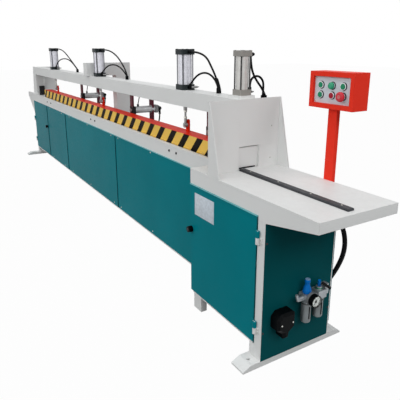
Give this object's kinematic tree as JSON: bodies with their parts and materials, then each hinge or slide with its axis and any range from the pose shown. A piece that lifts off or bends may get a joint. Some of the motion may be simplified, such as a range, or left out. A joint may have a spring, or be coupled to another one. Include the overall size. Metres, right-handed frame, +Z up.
{
  "type": "finger joint press",
  "caption": "Long timber press with a channel bed on a panelled stand, a striped press beam under upright cylinders, an end ram, a window gate, an infeed table and a control box.",
  "frame": {"origin": "on the floor, under the middle of the whole machine's bounding box", "axes": "+X along the bed towards the infeed table, +Y to the rear, away from the operator, +Z up"},
  "size_m": [6.044, 0.71, 1.482],
  "materials": {
    "white_paint": "satin",
    "teal_paint": "satin",
    "red_paint": "satin",
    "maroon_paint": "satin",
    "black_paint": "satin",
    "grey_paint": "matte",
    "aluminium": "anodised",
    "steel": "ground",
    "chrome": "polished",
    "black_plastic": "moulded",
    "grey_plastic": "moulded",
    "green_plastic": "gloss",
    "dark_red_plastic": "gloss",
    "red_plastic": "gloss",
    "blue_plastic": "gloss",
    "clear_glass": "clear",
    "black_rubber": "smooth"
  },
  "bodies": {
    "frame": {"bed": "white_paint", "bed_stand": "white_paint", "far_foot": "white_paint", "near_foot": "white_paint", "cabinet_frame": "white_paint", "infeed_table": "white_paint", "guide_strip": "black_plastic", "near_tower": "white_paint", "far_tower": "white_paint", "top_beam": "white_paint", "rear_column": "white_paint", "front_panels": "teal_paint", "rear_panels": "teal_paint", "cabinet_panels": "teal_paint", "end_panel": "teal_paint", "hinge_pins": "steel", "press_caps": "black_paint", "press_barrels": "aluminium", "gate_caps": "aluminium", "gate_barrel": "aluminium", "lock_caps": "black_paint", "lock_barrels": "aluminium", "lock_supports": "maroon_paint", "ram_cylinder": "aluminium", "control_post": "red_paint", "control_box": "red_paint", "control_plate": "grey_paint", "bezels": "chrome", "lamp": "green_plastic", "air_body": "grey_plastic", "air_bowls": "grey_plastic", "gauge_case": "black_plastic", "gauge_glass": "clear_glass", "power_inlet": "black_plastic", "oil_unit": "grey_paint", "hoses": "black_rubber", "hose_fittings": "black_plastic"},
    "press": {"press_beam": "red_paint", "press_rods": "steel", "rod_eyes": "steel", "eye_pins": "steel"},
    "gate": {"gate": "white_paint", "gate_rod": "steel"},
    "lock": {"lock_bolts": "steel"},
    "ram": {"ram_rod": "steel", "ram_head": "black_paint"},
    "near_door": {"near_door": "teal_paint"},
    "near_latch": {"near_knob": "black_plastic"},
    "far_door": {"far_door": "teal_paint"},
    "far_latch": {"far_knob": "black_plastic"},
    "button_1": {"button_1": "green_plastic"},
    "button_2": {"button_2": "green_plastic"},
    "button_3": {"button_3": "green_plastic"},
    "button_4": {"button_4": "dark_red_plastic"},
    "stop_plunger": {"stop_plunger": "black_plastic"},
    "stop_head": {"stop_head": "red_plastic"},
    "regulator_knob": {"regulator_knob": "blue_plastic"},
    "drip_knob": {"drip_knob": "blue_plastic"},
    "gauge_pointer": {"gauge_pointer": "black_paint"},
    "shutoff_lever": {"shutoff_lever": "black_plastic"}
  },
  "joints": [
    {"name": "press_lift", "type": "slide", "parent": "frame", "child": "press", "axis": [0, 0, 1], "range_m": [0, 0.07]},
    {"name": "gate_lift", "type": "slide", "parent": "frame", "child": "gate", "axis": [0, 0, 1], "range_m": [0, 0.11]},
    {"name": "lock_slide", "type": "slide", "parent": "frame", "child": "lock", "axis": [0, -1, 0], "range_m": [0, 0.045]},
    {"name": "ram_slide", "type": "slide", "parent": "frame", "child": "ram", "axis": [1, 0, 0], "range_m": [0, 0.15]},
    {"name": "near_door_swing", "type": "hinge", "parent": "frame", "child": "near_door", "pos_m": [2.666, -0.2635, 0.43], "axis": [0, 0, 1], "range_deg": [0, 110]},
    {"name": "near_latch_turn", "type": "hinge", "parent": "near_door", "child": "near_latch", "pos_m": [2.06, -0.254, 0.495], "axis": [0, 1, 0], "range_deg": [0, 90]},
    {"name": "far_door_swing", "type": "hinge", "parent": "frame", "child": "far_door", "pos_m": [-2.709, -0.091, 0.43], "axis": [0, 0, -1], "range_deg": [0, 110]},
    {"name": "far_latch_turn", "type": "hinge", "parent": "far_door", "child": "far_latch", "pos_m": [-1.99, -0.085, 0.49], "axis": [0, 1, 0], "range_deg": [0, 90]},
    {"name": "button_1_press", "type": "slide", "parent": "frame", "child": "button_1", "axis": [0, 1, 0], "range_m": [0, 0.004], "stiffness_N_per_m": 400, "springref_m": -0.002},
    {"name": "button_2_press", "type": "slide", "parent": "frame", "child": "button_2", "axis": [0, 1, 0], "range_m": [0, 0.004], "stiffness_N_per_m": 400, "springref_m": -0.002},
    {"name": "button_3_press", "type": "slide", "parent": "frame", "child": "button_3", "axis": [0, 1, 0], "range_m": [0, 0.004], "stiffness_N_per_m": 400, "springref_m": -0.002},
    {"name": "button_4_press", "type": "slide", "parent": "frame", "child": "button_4", "axis": [0, 1, 0], "range_m": [0, 0.004], "stiffness_N_per_m": 400, "springref_m": -0.002},
    {"name": "stop_press", "type": "slide", "parent": "frame", "child": "stop_plunger", "axis": [0, 1, 0], "range_m": [0, 0.006]},
    {"name": "stop_twist", "type": "hinge", "parent": "stop_plunger", "child": "stop_head", "pos_m": [2.691, 0.163, 1.272], "axis": [0, 1, 0], "range_deg": [0, 45], "stiffness_Nm_per_rad": 0.05},
    {"name": "regulator_turn", "type": "hinge", "parent": "frame", "child": "regulator_knob", "pos_m": [2.745, -0.011, 0.37], "axis": [0, 0, 1], "range_deg": [-170, 170]},
    {"name": "drip_turn", "type": "hinge", "parent": "frame", "child": "drip_knob", "pos_m": [2.745, 0.069, 0.375], "axis": [0, 0, 1], "range_deg": [0, 270]},
    {"name": "gauge_turn", "type": "hinge", "parent": "frame", "child": "gauge_pointer", "pos_m": [2.807, -0.011, 0.333], "axis": [-1, 0, 0], "range_deg": [0, 270], "stiffness_Nm_per_rad": 0.005},
    {"name": "shutoff_turn", "type": "hinge", "parent": "frame", "child": "shutoff_lever", "pos_m": [2.765, 0.108, 0.357], "axis": [-1, 0, 0], "range_deg": [0, 90]}
  ]
}
